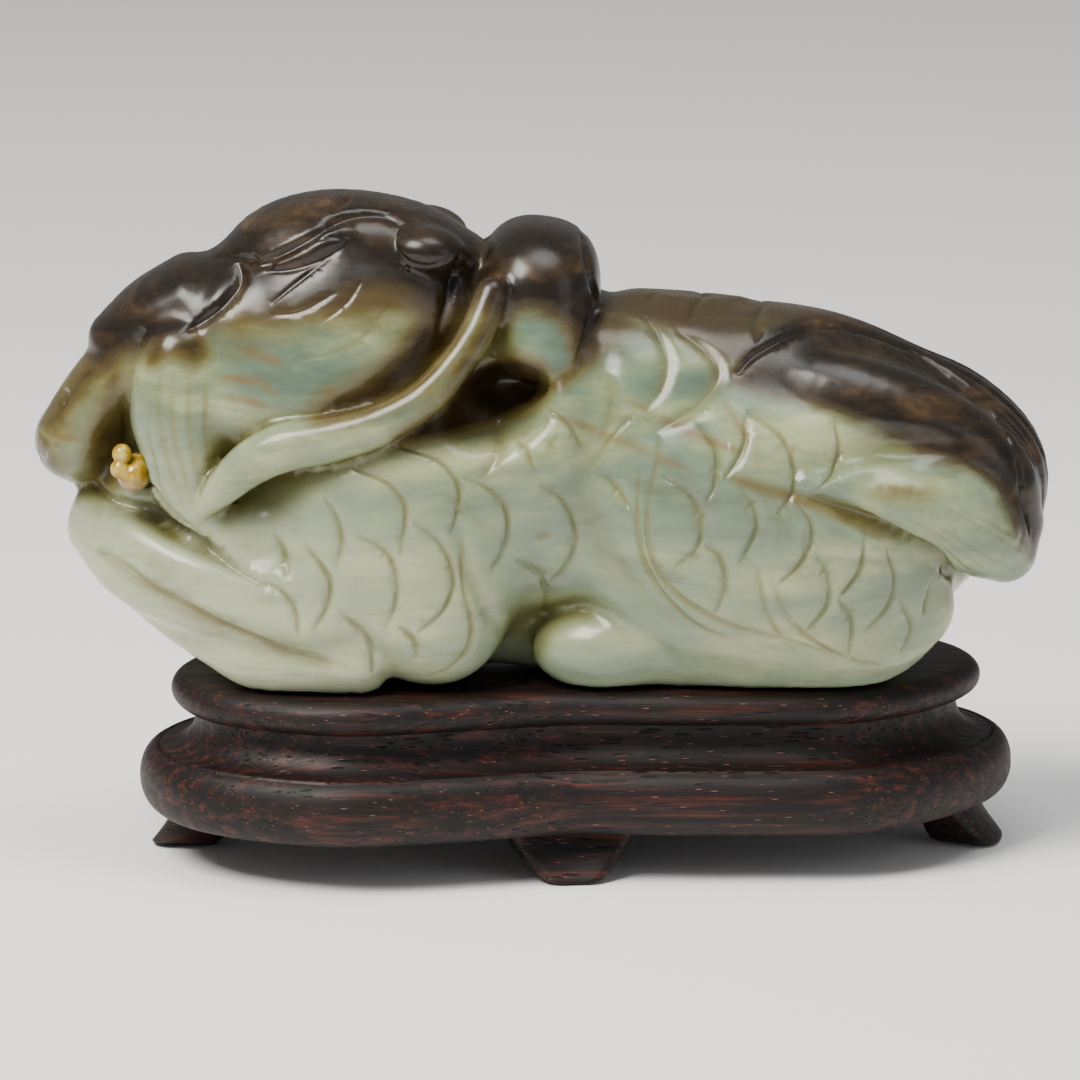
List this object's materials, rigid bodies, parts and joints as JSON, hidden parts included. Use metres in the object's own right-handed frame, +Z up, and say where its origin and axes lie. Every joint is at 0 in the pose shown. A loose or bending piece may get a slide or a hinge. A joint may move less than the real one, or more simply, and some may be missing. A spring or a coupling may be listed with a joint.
{
  "type": "jade qilin figure on a wooden stand",
  "caption": "Recumbent carved jade qilin with scaled body and swept tail, resting on a fitted, moulded rosewood stand with bracket feet.",
  "frame": {"origin": "on the floor, below the middle of the whole piece's bounding box", "axes": "+X from the beast's head to its tail, -Y out of its left side, which faces the viewer, +Z up"},
  "size_m": [0.0996, 0.0406, 0.0658],
  "materials": {
    "jade": "polished",
    "resin": "gloss",
    "rosewood": "satin"
  },
  "bodies": {
    "root": {"qilin_figure": "jade", "mouth_beads": "resin", "wood_stand": "rosewood"}
  },
  "joints": []
}
